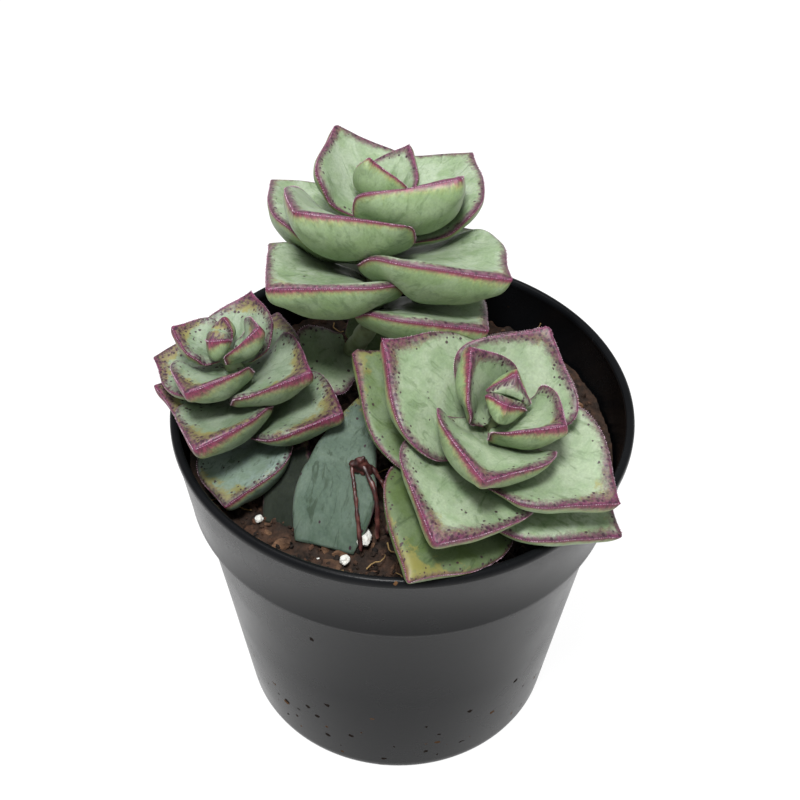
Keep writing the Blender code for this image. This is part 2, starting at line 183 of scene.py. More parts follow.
def linear(code):
    """The linear colour of an sRGB hex code such as #A0B090."""
    channels = [int(code[i : i + 2], 16) / 255 for i in (1, 3, 5)]
    return tuple(c / 12.92 if c <= 0.04045 else ((c + 0.055) / 1.055) ** 2.4 for c in channels) + (1.0,)


def add(material, kind, inputs=None, **settings):
    """Adds a shader node of a kind with its settings, and sets or links its inputs, named or numbered. A node
    given for an input stands for its first output."""
    tree = material.node_tree
    node = tree.nodes.new("ShaderNode" + kind)
    for name, value in settings.items():
        setattr(node, name, value)
    for socket, value in (inputs or {}).items():
        if isinstance(value, bpy.types.Node):
            value = value.outputs[0]
        if isinstance(value, bpy.types.NodeSocket):
            tree.links.new(value, node.inputs[socket])
        else:
            node.inputs[socket].default_value = value
    return node


def colour_stops(node, stops):
    """Sets a colour ramp's stops: (position, hex code, alpha)."""
    ramp = node.color_ramp
    while len(ramp.elements) > 1:
        ramp.elements.remove(ramp.elements[-1])
    for index, (position, code, alpha) in enumerate(stops):
        stop = ramp.elements[0] if index == 0 else ramp.elements.new(position)
        stop.position = position
        stop.color = linear(code)[:3] + (alpha,)


def new_material(name):
    """An empty material, ready for its nodes."""
    material = bpy.data.materials.new(name)
    material.use_nodes = True
    material.node_tree.nodes.clear()
    return material


def finished(material, inputs):
    """Gives a material its surface, with these inputs, and its output."""
    shader = add(material, "BsdfPrincipled", inputs)
    add(material, "OutputMaterial", {0: shader})
    return material


def clouding(material, place, size, low, high, to=(0.0, 1.0), soft=False, **inputs):
    """Noise with lumps of a size, its values from low to high spread over another range."""
    inputs = {"Vector": place, "Scale": 1 / size} | {name.title(): value for name, value in inputs.items()}
    lumps = add(material, "TexNoise", inputs)
    return add(material, "MapRange", {0: lumps, 1: low, 2: high, 3: to[0], 4: to[1]},
               interpolation_type="SMOOTHSTEP" if soft else "LINEAR")


def select(*objects):
    """Selects these objects and no others, in object mode, with the last one active."""
    if bpy.context.object and bpy.context.object.mode != "OBJECT":
        bpy.ops.object.mode_set(mode="OBJECT")
    bpy.ops.object.select_all(action="DESELECT")
    for obj in objects:
        obj.select_set(True)
        bpy.context.view_layer.objects.active = obj


def link(name, data):
    """A new object in the scene that holds the data."""
    obj = bpy.data.objects.new(name, data)
    bpy.context.scene.collection.objects.link(obj)
    return obj


def points_of(mesh, kind="co"):
    """A mesh's points, or their normals, as rows of three."""
    values = np.zeros(len(mesh.vertices) * 3, np.float32)
    mesh.vertices.foreach_get(kind, values)
    return values.reshape(-1, 3).astype(float)


def set_points(mesh, places):
    mesh.vertices.foreach_set("co", places.astype(np.float32).ravel())
    mesh.update()


def keep(obj, name, slot, material, *nodes):
    """Names a finished piece, gives it its material, and lets it stand for its nodes."""
    obj.name = name
    obj.data.name = name
    obj.data.materials.clear()
    obj.data.materials.append(material)
    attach(obj, "root")
    if nodes:
        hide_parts(*nodes)


def node_form(node):
    """A node's mesh with its loose triangles joined at their corners."""
    form = bmesh.new()
    form.from_mesh(node.data)
    bmesh.ops.remove_doubles(form, verts=form.verts, dist=JOIN_DISTANCE)
    return form


def spline_weights(knots, at):
    """The matrix that turns values at the knots into a natural cubic spline's values at other places."""
    knots, at = np.asarray(knots, float), np.asarray(at, float)
    count = len(knots)
    gaps = np.diff(knots)
    left, right = np.zeros((count, count)), np.zeros((count, count))
    left[0, 0] = left[-1, -1] = 1.0
    for i in range(1, count - 1):
        left[i, i - 1 : i + 2] = gaps[i - 1], 2 * (gaps[i - 1] + gaps[i]), gaps[i]
        right[i, i - 1 : i + 2] = 6 / gaps[i - 1], -6 / gaps[i - 1] - 6 / gaps[i], 6 / gaps[i]
    bends = np.linalg.solve(left, right)
    span = np.clip(np.searchsorted(knots, at, side="right") - 1, 0, count - 2)
    gap = gaps[span]
    after = (at - knots[span]) / gap
    before = 1 - after
    eye = np.eye(count)
    weights = before[:, None] * eye[span] + after[:, None] * eye[span + 1]
    weights += ((before**3 - before) * gap**2 / 6)[:, None] * bends[span]
    weights += ((after**3 - after) * gap**2 / 6)[:, None] * bends[span + 1]
    return weights


def cloud(places, size, seed=0.0):
    """Smooth noise from -1 to 1 at each place, with lumps of a size."""
    shift = Vector((seed, -seed, 2 * seed))
    values = [noise.noise(Vector(place) / size + shift) for place in places.reshape(-1, 3)]
    return np.array(values).reshape(places.shape[:-1])


# ---------------------------------------------------------------- leaves


def ring_order(ring):
    """A ring's vertices in order round it."""
    walk = [min(ring, key=lambda v: v.index)]
    while len(walk) < len(ring):
        ahead = [e.other_vert(walk[-1]) for e in walk[-1].link_edges]
        walk.append(next(v for v in ahead if v in ring and v not in walk))
    return np.array([v.co for v in walk])


def rings_from(pole):
    """The rings of points round a leaf, from the one next to a pole onwards, as far as they are whole."""
    seen, ring, rings = {pole}, {pole}, []
    while True:
        ring = {e.other_vert(v) for v in ring for e in v.link_edges} - seen
        if len(ring) != LEAF_SIDES:
            return rings
        seen |= ring
        rings.append(ring_order(ring))


def turns_of(ring):
    """A ring started at each of its points, in both directions."""
    return [np.roll(ring[::way], -start, axis=0) for way in (1, -1) for start in range(LEAF_SIDES)]


def leaf_net(node):
    """A leaf's sections from base to tip as rings of points, and its tip. Point 0 of a ring is on one margin,
    a quarter round is the upper midrib, and half round is the other margin."""
    form = node_form(node)
    form.verts.index_update()
    poles = [v for v in form.verts if len(v.link_edges) == LEAF_SIDES]
    found = [(rings_from(pole), np.array(pole.co)) for pole in poles]
    form.free()
    rings, tip = min(found, key=lambda pair: np.ptp(pair[0][0], axis=0).sum())
    rings.reverse()
    half, quarter = LEAF_SIDES // 2, LEAF_SIDES // 4
    spans = [np.linalg.norm(ring - np.roll(ring, half, 0), axis=1).max() for ring in rings[:-1]]
    widest = int(np.argmax(spans))
    outward = rings[widest + 1].mean(0) - rings[widest].mean(0)

    def fitness(ring):
        """Width between the margins, where the ring also has its upper side up and turns the right way."""
        upper, lower, middle = ring[quarter], ring[half + quarter], (ring[0] + ring[half]) / 2
        rightly_turned = np.dot(np.cross(ring[0] - ring[half], upper - lower), outward) > 0
        upper_up = np.linalg.norm(lower - middle) > np.linalg.norm(upper - middle)
        return np.linalg.norm(ring[0] - ring[half]) if rightly_turned and upper_up else 0.0

    rings[widest] = max(turns_of(rings[widest]), key=fitness)
    tipward = [(k, k - 1) for k in range(widest + 1, len(rings))]
    baseward = [(k, k + 1) for k in range(widest - 1, -1, -1)]
    for index, beside in tipward + baseward:
        like = rings[beside] - rings[beside].mean(0)
        rings[index] = min(turns_of(rings[index]), key=lambda r: np.linalg.norm(r - r.mean(0) - like))
    return np.array(rings), tip


def leaf_surface(node):
    """Points of a smooth leaf through its node's sections: rows from base to tip, each round a section."""
    rings, tip = leaf_net(node)
    rows = np.concatenate([rings, np.broadcast_to(tip, (1, LEAF_SIDES, 3))])
    steps = np.linalg.norm(np.diff(rows.mean(1), axis=0), axis=1)
    along = np.concatenate([[0.0], np.cumsum(steps)])
    even = np.linspace(0.0, 1.0, LEAF_ALONG + 1)[:-1]
    shares = (even + (1 - np.cos(math.pi * even)) / 2) / 2
    rows = np.einsum("ij,jkl->ikl", spline_weights(along / along[-1], shares), rows)
    half = LEAF_SIDES // 2
    turn = np.linspace(0.0, math.pi, LEAF_AROUND // 2 + 1)
    round_half = spline_weights(np.linspace(0.0, math.pi, half + 1), turn)
    upper = np.einsum("ij,kjl->kil", round_half, rows[:, : half + 1])
    lower = np.einsum("ij,kjl->kil", round_half, np.concatenate([rows[:, half:], rows[:, :1]], axis=1))
    places = np.concatenate([upper[:, :-1], lower[:, :-1]], axis=1)
    return {"name": node.name, "places": places, "shares": shares, "length": along[-1], "tip": tip}


def unit(vectors):
    """The vectors, each brought to length 1."""
    return vectors / np.maximum(np.linalg.norm(vectors, axis=-1, keepdims=True), 1e-12)


def sideways_of(places):
    """Each row's direction from its second margin to its first."""
    return unit(places[:, 0] - places[:, HALF])


def reach_from_middle(places):
    """Each row's sideways direction, and how far each of its points is from its middle that way."""
    side = sideways_of(places)
    centre = (places[:, 0] + places[:, HALF]) / 2
    return side[:, None], np.einsum("ijk,ik->ij", places - centre[:, None], side)[..., None]


def round_base(leaf):
    """Draws a leaf's margins in towards the stem and thins its base, so that its corners end pointed."""
    places, shares = leaf["places"], leaf["shares"]
    lobe = np.sin(math.pi / 2 * np.clip(shares / BASE_LOBE, 0.0, 1.0))
    width = BASE_NARROWING + (1 - BASE_NARROWING) * lobe
    side, out = reach_from_middle(places)
    places = places - out * (1 - width)[:, None, None] * side
    mirrored = -np.arange(LEAF_AROUND) % LEAF_AROUND
    middle = (places + places[:, mirrored]) / 2
    rise = np.sin(math.pi / 2 * np.clip(shares / THIN_REACH, 0.0, 1.0))
    thin = BASE_THINNING + (1 - BASE_THINNING) * rise
    leaf["places"] = middle + (places - middle) * thin[:, None, None]


def root_base(leaf):
    """Widens a lone leaf's foot to a band and sets it down into the soil."""
    places = leaf["places"]
    share = np.clip(1 - leaf["shares"] / FOOT_REACH, 0.0, 1.0)
    side, out = reach_from_middle(places)
    places = places + out * (share**0.6 * FOOT_WIDENING)[:, None, None] * side
    back = unit(places[0].mean(0) - places[len(places) // 3].mean(0))
    leaf["places"] = places + (share**2 * FOOT_DEPTH)[:, None, None] * back


def leaf_tree(leaf):
    """A search tree of a leaf's faces."""
    places = leaf["places"]
    rows, count = places.shape[:2]
    verts = [Vector(p) for p in places.reshape(-1, 3)] + [Vector(leaf["tip"])]
    last, tip = (rows - 1) * count, rows * count
    pairs = [(c, (c + 1) % count) for c in range(count)]
    faces = [
        (first + a, first + b, first + count + b, first + count + a)
        for first in range(0, last, count) for a, b in pairs
    ]
    faces += [(last + a, last + b, tip) for a, b in pairs]
    return BVHTree.FromPolygons(verts, faces)


def swell(leaf, obstacles, first, share, fullness, room_share):
    """Swells one side of a leaf along its sections, as far as its neighbours allow. The side starts at column
    first: 0 for the upper side, HALF for the underside."""
    places, shares = leaf["places"], leaf["shares"]
    columns = (np.arange(1, HALF) + first) % LEAF_AROUND
    middle = (first + HALF // 2) % LEAF_AROUND
    opposite = (middle + HALF) % LEAF_AROUND
    way = unit(places[:, middle] - places[:, opposite])
    turn = np.arange(1, HALF) * math.pi / HALF
    growth, tip_fall = 1, TIP_FALL
    if leaf["length"] < BUD_LENGTH:
        growth, tip_fall = (BUD_PILLOW, BUD_TIP_FALL) if first == 0 else (BUD_BELLY, TIP_FALL)
        room_share = max(room_share, BUD_ROOM_SHARE)
    from_base = FLESH_AT_BASE + (1 - FLESH_AT_BASE) * np.clip(shares / BELLY_REACH, 0, 1)
    lengthwise = share * growth * leaf["length"] * (1 - shares**tip_fall) * from_base
    wanted = lengthwise[:, None] * np.sin(turn)[None, :] ** fullness
    room = wanted.copy()
    for row, direction in enumerate(Vector(w) for w in way):
        for step, column in enumerate(columns):
            place = Vector(places[row, column])
            look = wanted[row, step] / room_share + CLEARANCE
            hits = [tree.ray_cast(place, direction, look)[3] for tree in obstacles]
            free = min([hit for hit in hits if hit is not None], default=look) - CLEARANCE
            room[row, step] = min(wanted[row, step], max(0.0, free * room_share))
    for _ in range(SMOOTHING_ROUNDS):
        soft = room.copy()
        soft[1:-1, 1:-1] = (
            room[:-2, 1:-1] + room[2:, 1:-1] + room[1:-1, :-2] + room[1:-1, 2:] + 2 * room[1:-1, 1:-1]
        ) / 6
        room = np.minimum(room, soft)
    places[:, columns] += way[:, None] * room[..., None]


def across_distance(places):
    """How far round its section each point is from the nearer margin, and how far that side's midrib is."""
    found, middle = np.zeros(places.shape[:2]), np.zeros(places.shape[:2])
    for first in (0, HALF):
        part = np.roll(places, -first, axis=1)[:, : HALF + 1]
        steps = np.linalg.norm(np.diff(part, axis=1), axis=2)
        run = np.concatenate([np.zeros((len(places), 1)), np.cumsum(steps, axis=1)], axis=1)
        columns = (np.arange(HALF + 1) + first) % LEAF_AROUND
        found[:, columns] = np.minimum(run, run[:, -1:] - run)
        middle[:, columns] = run[:, -1:] / 2
    return found, middle


def grid_normals(places):
    """Outward normals of a leaf's grid of points."""
    along = np.gradient(places, axis=0)
    around = np.roll(places, -1, axis=1) - np.roll(places, 1, axis=1)
    return unit(np.cross(around, along))


def margin_distance(places, tip):
    """Each point's straight distance from the leaf's edge, which runs along both margins and the tip."""
    edge = np.concatenate([places[:, 0], tip[None], places[::-1, HALF]])
    edge = np.concatenate([edge[:-1] * (1 - c) + edge[1:] * c for c in (0.0, 0.33, 0.67)])
    flat = places.reshape(-1, 3)
    found = np.min(np.linalg.norm(flat[:, None] - edge[None], axis=2), axis=1)
    return found.reshape(places.shape[:2])


def flesh_out(leaf, number):
    """Gives a leaf its soft shoulders, beaded margin, slow waves and slightly drawn-out tip."""
    places, shares, tip = leaf["places"], leaf["shares"], leaf["tip"]
    size = min(1.0, leaf["length"] / FULL_LENGTH)
    normals = grid_normals(places)
    rim = margin_distance(places, tip)
    turn = np.arange(LEAF_AROUND) * 2 * math.pi / LEAF_AROUND
    side = np.where(np.cos(turn) > 0, 1.0, -1.0)
    outward = sideways_of(places)[:, None] * side[None, :, None]
    edge_weight = np.exp(-((rim / MARGIN_PUSH_WIDTH) ** 2))[..., None]
    push = unit(normals + outward * edge_weight * 2)
    reach = rim / (SHOULDER_REACH * size)
    shoulder = SHOULDER_HEIGHT * size * reach * np.exp(1 - reach)
    bead = MARGIN_BEAD * np.exp(-((rim / MARGIN_BEAD_WIDTH) ** 2))
    near_tip = np.clip((1 - shares) / 0.10, 0, 1)[:, None]
    waves = sum(cloud(places, lump, number * seed) * height for lump, height, seed in WAVES)
    waves *= np.clip(shares / WAVE_START, 0, 1)[:, None]
    ahead = unit(tip - places[-8].mean(0))
    draw = TIP_DRAW * size * np.clip((shares - 1 + TIP_SHARE) / TIP_SHARE, 0, 1) ** 2
    shift = (shoulder * near_tip + waves)[..., None] * normals
    shift += (bead * (0.4 + 0.6 * near_tip))[..., None] * push
    leaf["places"] = places + shift + ahead * draw[:, None, None]
    leaf["tip"] = tip + ahead * TIP_DRAW * size * 1.1
    leaf["normals"], leaf["outward"] = normals, outward


def set_attribute(mesh, name, kind, values):
    """Stores a value or a vector for each point of a mesh."""
    field = "vector" if kind == "FLOAT_VECTOR" else "value"
    mesh.attributes.new(name, kind, "POINT").data.foreach_set(field, values.astype(np.float32).ravel())


def build_leaf(leaf, number, material, papilla_material):
    """Makes the mesh of a shaped leaf from a ball whose poles become the tip and the base."""
    places, shares, length, tip = leaf["places"], leaf["shares"], leaf["length"], leaf["tip"]
    rim = margin_distance(places, tip)
    near, middle = across_distance(places)
    select()
    bpy.ops.mesh.primitive_uv_sphere_add(segments=LEAF_AROUND, ring_count=LEAF_ALONG + 1, radius=1.0)
    piece = bpy.context.object
    ball = points_of(piece.data)
    ring = np.rint(np.arccos(np.clip(ball[:, 2], -1, 1)) / math.pi * (LEAF_ALONG + 1)).astype(int)
    turn = np.rint(np.arctan2(ball[:, 1], ball[:, 0]) / (2 * math.pi) * LEAF_AROUND).astype(int) % LEAF_AROUND
    row = np.clip(LEAF_ALONG - ring, 0, LEAF_ALONG - 1)
    on_tip = ring == 0
    shaped = places[row, turn]
    shaped[on_tip] = tip
    shaped[ring == LEAF_ALONG + 1] = places[0].mean(0)
    set_points(piece.data, shaped)
    upper = np.where(turn <= HALF, 1.0, -1.0)
    edge = np.where(on_tip, 0.0, rim[row, turn])
    run = np.where(on_tip, 1.0, shares[row])
    inside = np.where(np.cos(2 * math.pi * turn / LEAF_AROUND) > 0, 1.0, -1.0)
    across = (middle[row, turn] - near[row, turn]) * inside * (~on_tip)
    flat = [across / MM + number * LEAF_PATTERN_SHIFT, run * length / MM, upper * SIDE_PATTERN_SHIFT]
    set_attribute(piece.data, "rim_mm", "FLOAT", edge * upper / MM)
    set_attribute(piece.data, "along", "FLOAT", run)
    set_attribute(piece.data, "flat_mm", "FLOAT_VECTOR", np.stack(flat, 1))
    bpy.ops.object.shade_smooth()
    keep(piece, leaf["name"] + "_flesh", "leaf", material, leaf["name"])
    if not leaf["name"].startswith("lone"):
        add_papillae(piece, leaf, number, papilla_material)


def papilla_spots(leaf, number):
    """Where the papillae of a leaf stand, which way they point, and how large each is."""
    draws = random.Random(number)
    for column, inner in ((0, 3), (HALF, HALF - 3)):
        lines = [leaf["places"][:, column], leaf["outward"][:, column], leaf["normals"][:, inner]]
        steps = np.linalg.norm(np.diff(lines[0], axis=0), axis=1)
        run = np.concatenate([[0.0], np.cumsum(steps)])
        reach = FRINGE_START * run[-1]
        while reach < run[-1]:
            spot, out, up = [np.array([np.interp(reach, run, axis) for axis in line.T]) for line in lines]
            way = out + up * draws.uniform(-0.2, 0.9)
            yield spot, way / np.linalg.norm(way), draws.uniform(0.6, 1.15)
            reach += PAPILLA_SPACING * draws.uniform(0.6, 1.4)


def add_papillae(piece, leaf, number, material):
    """Joins a fringe of small blunt teeth to a leaf's margins."""
    sides = PAPILLA_SIDES
    verts, faces = [], []
    for spot, way, size in papilla_spots(leaf, number):
        first = len(verts)
        one = np.cross(way, (0.3, 0.5, 0.8))
        one /= np.linalg.norm(one)
        two = np.cross(way, one)
        for level, radius in PAPILLA_RINGS:
            for i in range(sides):
                angle = 2 * math.pi * i / sides
                ring = (one * math.cos(angle) + two * math.sin(angle)) * PAPILLA_RADIUS * radius * size
                verts.append(spot + way * PAPILLA_LENGTH * level * size + ring)
        for level in range(len(PAPILLA_RINGS) - 1):
            for i in range(sides):
                a, b = first + level * sides + i, first + level * sides + (i + 1) % sides
                faces.append((a, b, b + sides, a + sides))
        faces.append([first + i for i in reversed(range(sides))])
        faces.append([first + 2 * sides + i for i in range(sides)])
    mesh = bpy.data.meshes.new("papillae")
    mesh.from_pydata(verts, [], faces)
    mesh.materials.append(material)
    select(link("papillae", mesh), piece)
    bpy.ops.object.join()


def leaf_skin(name, green, wax, dark, purple, band=1.15, speckle=1.0, under="#7F946A", mottle=0.3, gloss=0.4):
    """Living leaf skin with a waxy bloom: matt and pale over green, rubbed darker in clouds, with a purple
    margin, a thin orange line under it, yellowed patches near the tip, and dark dots inside the margin. The
    band is in mm; speckle is how dotted the skin is, and mottle how yellowed."""
    m = new_material(name)
    rim = add(m, "Attribute", attribute_name="rim_mm").outputs["Fac"]
    along = add(m, "Attribute", attribute_name="along").outputs["Fac"]
    flat = add(m, "Attribute", attribute_name="flat_mm").outputs["Vector"]
    # Clouds of wax about 7 mm wide.
    bloom = clouding(m, flat, 7, 0.36, 0.62, soft=True, detail=5.0, roughness=0.6, distortion=0.6)
    top = add(m, "Mix", {0: bloom, 6: linear(green), 7: linear(wax)}, data_type="RGBA").outputs[2]
    # Rubbed streaks, where the green below the wax shows.
    stretched = add(m, "Mapping", {"Vector": flat, "Scale": (1 / 2.2, 1 / 5.5, 1.0)})
    streak = clouding(m, stretched, 1, 0.52, 0.68, (0.0, 0.65), soft=True,
                      detail=4.0, roughness=0.65, distortion=1.2)
    top = add(m, "Mix", {0: streak, 6: top, 7: linear(dark)}, data_type="RGBA").outputs[2]
    # The underside: fresher green, scuffed.
    rubbed = add(m, "MapRange", {0: bloom, 4: 0.35})
    below = add(m, "Mix", {0: rubbed, 6: linear(under), 7: linear(wax)}, data_type="RGBA").outputs[2]
    drawn = add(m, "Mapping", {"Vector": flat, "Scale": (1 / 2.0, 1 / 4.0, 1.0)})
    scuffed = clouding(m, drawn, 1, 0.48, 0.66, (0.0, 0.7), soft=True,
                       detail=4.0, roughness=0.7, distortion=0.8)
    below = add(m, "Mix", {0: scuffed, 6: below, 7: linear(dark)}, data_type="RGBA").outputs[2]
    is_top = add(m, "MapRange", {0: rim, 1: -0.4, 2: 0.4})
    skin = add(m, "Mix", {0: is_top, 6: below, 7: top}, data_type="RGBA").outputs[2]
    # Fine grain of the skin, about 0.45 mm.
    grain = add(m, "TexNoise", {"Vector": flat, "Scale": 1 / 0.45, "Detail": 2.0})
    fleck = add(m, "MapRange", {0: grain, 1: 0.35, 2: 0.7, 3: 0.89, 4: 1.06})
    skin = add(m, "VectorMath", {0: skin, 1: fleck}, operation="MULTIPLY")
    # Yellowed patches about 3 mm wide, at the tip and the edge of the upper side.
    patch = add(m, "TexNoise", {"Vector": flat, "Scale": 1 / 3.0, "Detail": 5.0, "Roughness": 0.75})
    at_tip = add(m, "MapRange", {
        0: along, 1: 0.70 - 0.3 * mottle, 2: 1.0, 3: -0.2, 4: 0.16 + 0.2 * mottle})
    at_edge = add(m, "MapRange", {0: rim, 1: 0.5, 2: 5.0, 3: 0.06 + 0.10 * mottle, 4: -0.06})
    for push in (at_tip, at_edge):
        patch = add(m, "Math", {0: patch, 1: push}, operation="ADD")
    patch = add(m, "MapRange", {0: patch, 1: 0.57, 2: 0.73, 4: 0.5 + 0.3 * mottle},
                interpolation_type="SMOOTHSTEP")
    patch = add(m, "Math", {0: patch, 1: is_top}, operation="MULTIPLY")
    skin = add(m, "Mix", {0: patch, 6: skin, 7: linear("#857B3F")}, data_type="RGBA").outputs[2]
    # Purple margin: its width swells towards the tip, dies away at the base, and is ragged.
    width = clouding(m, flat, 1.1, 0.3, 0.7, (band * 0.55, band * 1.35), detail=5.0, roughness=0.75)
    swollen = add(m, "MapRange", {0: along, 1: 0.6, 2: 1.0, 3: 0.85, 4: 1.0 + 0.9 * speckle},
                  interpolation_type="SMOOTHSTEP")
    at_base = add(m, "MapRange", {0: along, 1: 0.02, 2: 0.24, 3: 0.25, 4: 1.0})
    for factor in (swollen, at_base):
        width = add(m, "Math", {0: width, 1: factor}, operation="MULTIPLY")
    inward = add(m, "Math", {0: rim, 1: width}, operation="DIVIDE")
    inward = add(m, "MapRange", {0: inward, 1: -2.0, 2: 2.0})
    edge = add(m, "ValToRGB", {0: inward})
    # The slightly paler stop at the margin line (0.50) is partly the pale colour of the papillae and partly a
    # painted highlight along the beaded ridge.
    colour_stops(edge, [
        (0.10, "#8E9A5C", 0.0), (0.27, "#94934F", 0.35), (0.35, "#865440", 0.5), (0.42, "#742942", 0.9),
        (0.48, "#712A48", 1.0), (0.50, "#723A56", 1.0), (0.53, "#682C4C", 1.0), (0.58, purple, 1.0),
        (0.68, purple, 0.85), (0.76, "#64484F", 0.5), (0.88, "#6F6650", 0.0),
    ])
    # The band's upper side is broken up in blotches about 1 mm wide, and its purple varies in smaller ones.
    blotch = clouding(m, flat, 1.0, 0.42, 0.58, (0.9 - 0.5 * mottle, 1.0), detail=4.0, roughness=0.7)
    inside = add(m, "MapRange", {0: inward, 1: 0.52, 2: 0.60})
    blotch = add(m, "Mix", {0: inside, 2: 1.0, 3: blotch})
    cover = add(m, "Math", {0: edge.outputs["Alpha"], 1: blotch}, operation="MULTIPLY")
    dashes = clouding(m, flat, 0.6, 0.36, 0.62, (0.35, 1.15), detail=3.0, roughness=0.7)
    purples = add(m, "VectorMath", {0: edge, 1: dashes}, operation="MULTIPLY")
    skin = add(m, "Mix", {0: cover, 6: skin, 7: purples}, data_type="RGBA").outputs[2]
    # Dark dots 0.4 to 0.9 mm wide, thick beside the margin and sparse further in.
    cells = add(m, "TexVoronoi", {"Vector": flat, "Scale": 1 / 0.95}, voronoi_dimensions="2D")
    draw = add(m, "SeparateColor", {0: cells.outputs["Color"]}).outputs
    reach = add(m, "MapRange", {0: rim, 1: 0.7, 2: 1.5 + 0.8 * speckle + 1.5 * mottle,
                                          3: 0.25 + 0.35 * speckle, 4: 0.03 * mottle})
    ahead = add(m, "MapRange", {0: along, 1: 0.1, 2: 0.9, 3: 0.35, 4: 1.0})
    reach = add(m, "Math", {0: reach, 1: ahead}, operation="MULTIPLY")
    is_upper = add(m, "Math", {0: rim, 1: 0.15}, operation="GREATER_THAN")
    chosen = add(m, "Math", {0: draw[0], 1: reach}, operation="LESS_THAN")
    radius = add(m, "MapRange", {0: draw[1], 3: 0.20, 4: 0.50})
    dot = add(m, "Math", {0: cells.outputs["Distance"], 1: radius}, operation="DIVIDE")
    dot = add(m, "MapRange", {0: dot, 1: 0.55, 2: 1.0, 3: 0.92, 4: 0.0},
              interpolation_type="SMOOTHSTEP")
    for limit in (chosen, is_upper):
        dot = add(m, "Math", {0: dot, 1: limit}, operation="MULTIPLY")
    skin = add(m, "Mix", {0: dot, 6: skin, 7: linear("#341A29")}, data_type="RGBA").outputs[2]
    # Bump: skin grain, and the dots as shallow pits.
    relief = add(m, "Math", {0: grain, 1: dot}, operation="SUBTRACT")
    bump = add(m, "Bump", {"Height": relief, "Strength": 0.25, "Distance": 0.06 * MM})
    rough = add(m, "MapRange", {0: bloom, 3: 0.62 - 0.5 * gloss, 4: 0.78 - 0.5 * gloss})
    return finished(m, {
        "Base Color": skin, "Roughness": rough, "Normal": bump, "Specular IOR Level": gloss,
        "Subsurface Weight": 0.15, "Subsurface Radius": (0.9, 1.0, 0.35), "Subsurface Scale": 1.2 * MM,
    })


def papilla_skin():
    """Clear, waxy hairs on a leaf's edge: they catch the light as a pale pink fringe."""
    m = new_material("papilla_skin")
    place = add(m, "TexCoord").outputs["Object"]
    tone = clouding(m, place, 2.0 * MM, 0.35, 0.65, detail=2.0)
    skin = add(m, "Mix", {0: tone, 6: linear("#84546A"), 7: linear("#B9A2AE")}, data_type="RGBA").outputs[2]
    return finished(m, {"Base Color": skin, "Roughness": 0.4, "IOR": 1.42})


def leaf_skins():
    """The skins by name. Each leaf has its rosette's, or that of SKINS_BY_LEAF."""
    looks = {
        "front": (("#7F9272", "#919F85", "#5E7250", "#5A2C45"),
                  {"band": 1.55, "speckle": 1.2, "mottle": 0.45}),
        "back": (("#7F9371", "#98A68E", "#5F7450", "#5E2D48"),
                 {"band": 1.3, "speckle": 0.4, "under": "#778D62", "mottle": 0.1}),
        "left": (("#788A70", "#8B9984", "#5E7154", "#502E43"),
                 {"band": 1.6, "speckle": 1.6, "under": "#7C8F6C", "mottle": 1.0}),
        # A darker copy of the leaf skin: painted shade for low leaves under those above, with duller, more
        # orange margins of their own.
        "shaded": (("#5E7048", "#6C7C5F", "#465832", "#6B4350"),
                   {"band": 0.8, "speckle": 0.6, "under": "#6E8050"}),
        # Darker still: mostly painted shade for the lowest front leaves under those above, partly their own
        # darker green.
        "deep": (("#4E5F36", "#5A694A", "#35442A", "#6A473C"),
                 {"band": 0.6, "speckle": 0.5, "under": "#5C6C40", "mottle": 0.5}),
        # A darker copy of the left skin for the low left leaves: partly their own duller colour, partly
        # painted shade.
        "dim": (("#738574", "#82938A", "#3F4E39", "#4A3E42"),
                {"band": 0.8, "speckle": 0.8, "under": "#5A6A58", "mottle": 0.7, "gloss": 0.3}),
        "old": (("#4A5B4E", "#5E6D61", "#2B3829", "#4E4044"),
                {"band": 0.5, "speckle": 0.0, "under": "#46543F", "mottle": 0.5, "gloss": 0.15}),
        "withered": (("#272C26", "#31362F", "#1F241D", "#2C2426"),
                     {"band": 0.9, "speckle": 0.4, "under": "#23281F", "mottle": 0.2, "gloss": 0.02}),
    }
    return {kind: leaf_skin(f"succulent_skin_{kind}", *look, **rest) for kind, (look, rest) in looks.items()}


def build_leaves(nodes):
    """Shapes all the leaves, swells them against each other, and makes their meshes."""
    hairs, skins = papilla_skin(), leaf_skins()
    leaves = [leaf_surface(nodes[name]) for name in sorted(nodes) if "leaf" in name]
    for leaf in leaves:
        if leaf["name"].startswith("lone"):
            root_base(leaf)
        else:
            round_base(leaf)
    graph = bpy.context.evaluated_depsgraph_get()
    ground = [BVHTree.FromObject(nodes[name], graph) for name in ("pot", "soil")]
    boxes = [(leaf["places"].min((0, 1)) - NEIGHBOUR_REACH, leaf["places"].max((0, 1))) for leaf in leaves]
    for side in (PILLOW, BELLY):
        trees = [leaf_tree(leaf) for leaf in leaves]
        for number, leaf in enumerate(leaves):
            low, high = boxes[number]
            near = [
                trees[other] for other, (a, b) in enumerate(boxes)
                if other != number and (a < high).all() and (b > low).all()
            ]
            swell(leaf, near + ground, **side)
    for number, leaf in enumerate(leaves):
        flesh_out(leaf, number)
        group = leaf["name"].split("_")[0]
        skin = SKINS_BY_LEAF.get(leaf["name"], "old" if group == "lone" else group)
        build_leaf(leaf, number, skins[skin], hairs)


# ---------------------------------------------------------------- pot


